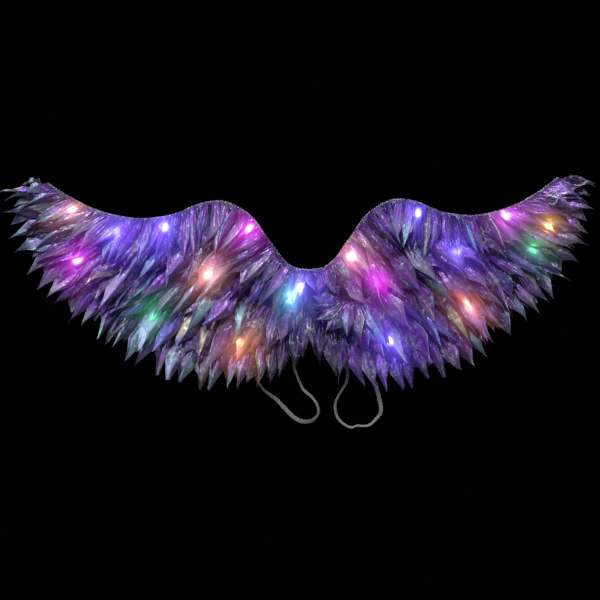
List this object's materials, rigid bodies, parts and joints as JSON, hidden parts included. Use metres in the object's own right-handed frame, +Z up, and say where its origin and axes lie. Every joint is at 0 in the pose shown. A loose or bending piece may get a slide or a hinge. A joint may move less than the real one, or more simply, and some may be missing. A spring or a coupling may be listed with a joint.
{
  "type": "light-up angel wings",
  "caption": "Costume wings of iridescent purple ruffles with saw-tooth hems on a wired edge, lit from inside by small coloured lamps and worn by elastic shoulder straps.",
  "frame": {"origin": "middle of the battery case's flat face, which rests on the wearer's back between the shoulder blades", "axes": "+X across the span to the right as the ruffles are seen, +Y towards the wearer, +Z up as worn"},
  "size_m": [0.8771, 0.036, 0.3797],
  "materials": {
    "iridescent_cloth": "iridescent satin, thin",
    "backing_cloth": "plain woven",
    "edge_binding": "satin, gathered over a wire",
    "elastic": "braided elastic",
    "lamp_lead": "clear insulation",
    "battery_case": "moulded",
    "lamp_cyan": "lit lens",
    "lamp_violet": "lit lens",
    "lamp_magenta": "lit lens",
    "lamp_coral": "lit lens",
    "lamp_amber": "lit lens",
    "lamp_green": "lit lens",
    "lamp_warm": "lit lens",
    "lamp_pink": "lit lens"
  },
  "bodies": {
    "root": {"edge_binding": "edge_binding", "battery_case": "battery_case", "backing_left": "backing_cloth", "lead_left": "lamp_lead", "strap_left": "elastic", "ruffle_1_top_left": "iridescent_cloth", "ruffle_2_upper_left": "iridescent_cloth", "ruffle_3_middle_left": "iridescent_cloth", "ruffle_4_lower_left": "iridescent_cloth", "ruffle_5_hem_left": "iridescent_cloth", "lamp_left_01": "lamp_cyan", "lamp_left_02": "lamp_violet", "lamp_left_03": "lamp_magenta", "lamp_left_04": "lamp_coral", "lamp_left_05": "lamp_amber", "lamp_left_06": "lamp_amber", "lamp_left_07": "lamp_green", "lamp_left_08": "lamp_violet", "lamp_left_09": "lamp_violet", "lamp_left_10": "lamp_warm", "lamp_left_11": "lamp_magenta", "backing_right": "backing_cloth", "lead_right": "lamp_lead", "strap_right": "elastic", "ruffle_1_top_right": "iridescent_cloth", "ruffle_2_upper_right": "iridescent_cloth", "ruffle_3_middle_right": "iridescent_cloth", "ruffle_4_lower_right": "iridescent_cloth", "ruffle_5_hem_right": "iridescent_cloth", "lamp_right_01": "lamp_warm", "lamp_right_02": "lamp_violet", "lamp_right_03": "lamp_magenta", "lamp_right_04": "lamp_violet", "lamp_right_05": "lamp_coral", "lamp_right_06": "lamp_violet", "lamp_right_07": "lamp_pink", "lamp_right_08": "lamp_green", "lamp_right_09": "lamp_amber"}
  },
  "joints": []
}
